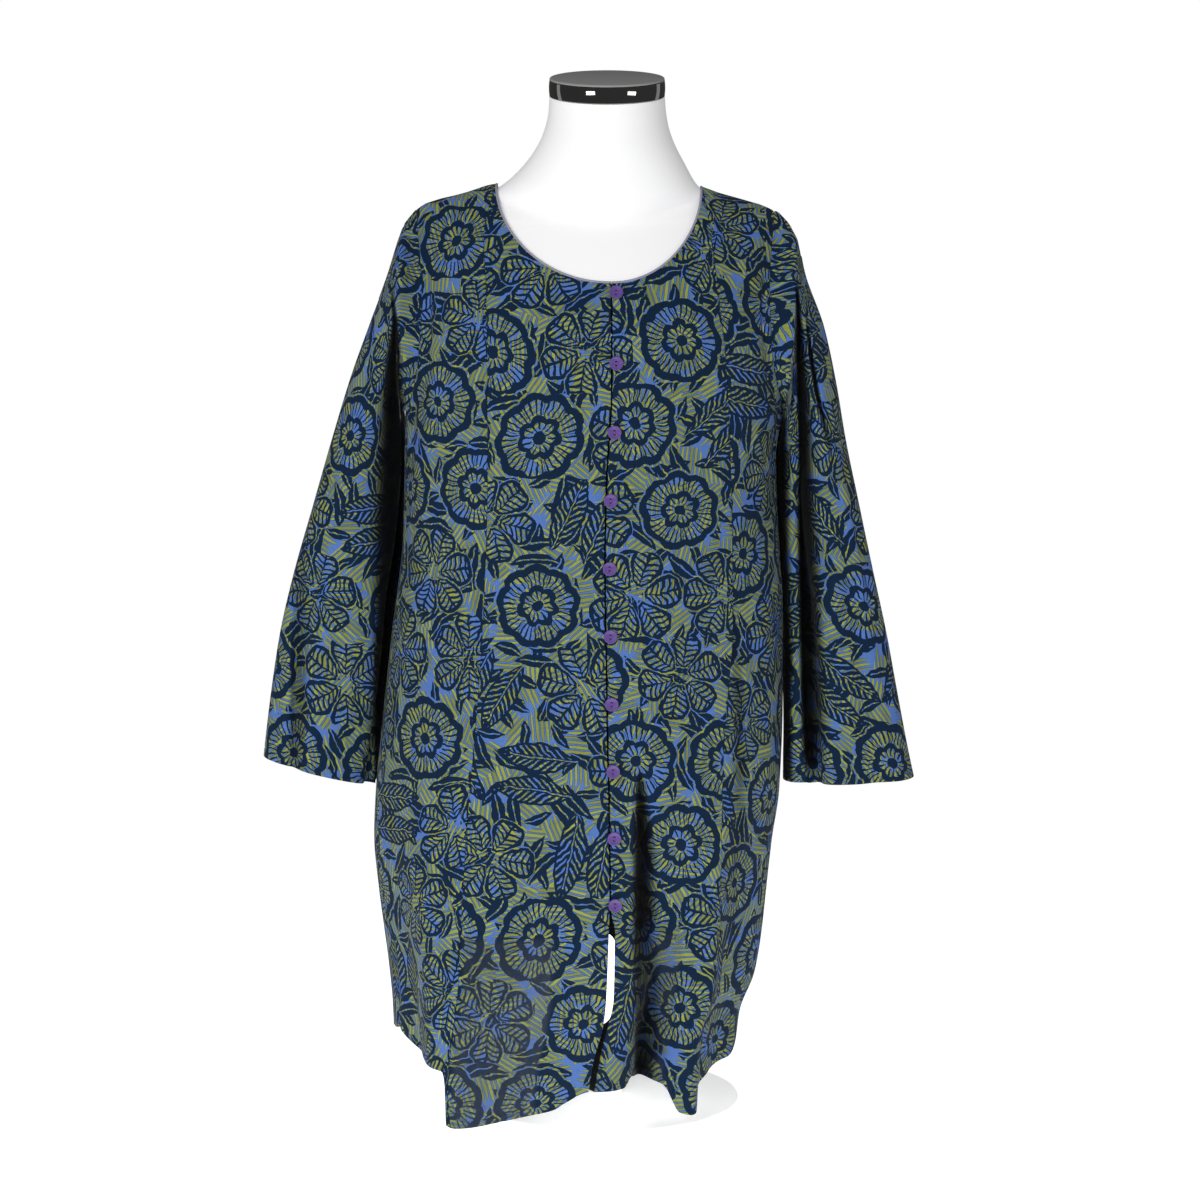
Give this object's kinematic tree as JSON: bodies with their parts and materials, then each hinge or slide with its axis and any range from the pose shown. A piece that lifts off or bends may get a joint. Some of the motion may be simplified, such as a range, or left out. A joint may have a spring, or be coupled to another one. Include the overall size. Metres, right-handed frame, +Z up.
{
  "type": "tunic top on a limbless dress form",
  "caption": "Loose button-front tunic top with a round bound neck and three-quarter sleeves, worn by a limbless dress form on a plain round stand.",
  "frame": {"origin": "centre of the base plate's underside, on the floor", "axes": "+Z up, -Y towards the front of the garment, +X towards the wearer's left"},
  "size_m": [0.614, 0.2655, 0.9773],
  "materials": {
    "printed_cotton": "thin matt plain weave, printed, slightly sheer",
    "binding": "matt bound edge",
    "button": "soft gloss",
    "form_white": "smooth satin white",
    "band_chrome": "mirror",
    "cap_grey": "matt",
    "stand_white": "satin paint"
  },
  "bodies": {
    "root": {"centre_front_right": "printed_cotton", "centre_front_left": "printed_cotton", "side_front_right": "printed_cotton", "side_front_left": "printed_cotton", "back": "printed_cotton", "sleeve_right": "printed_cotton", "sleeve_left": "printed_cotton", "neck_binding": "binding", "button_01": "button", "button_02": "button", "button_03": "button", "button_04": "button", "button_05": "button", "button_06": "button", "button_07": "button", "button_08": "button", "button_09": "button", "button_10": "button", "dress_form": "form_white", "neck_band": "band_chrome", "neck_cap": "cap_grey", "base_plate": "stand_white", "pole": "stand_white"}
  },
  "joints": []
}
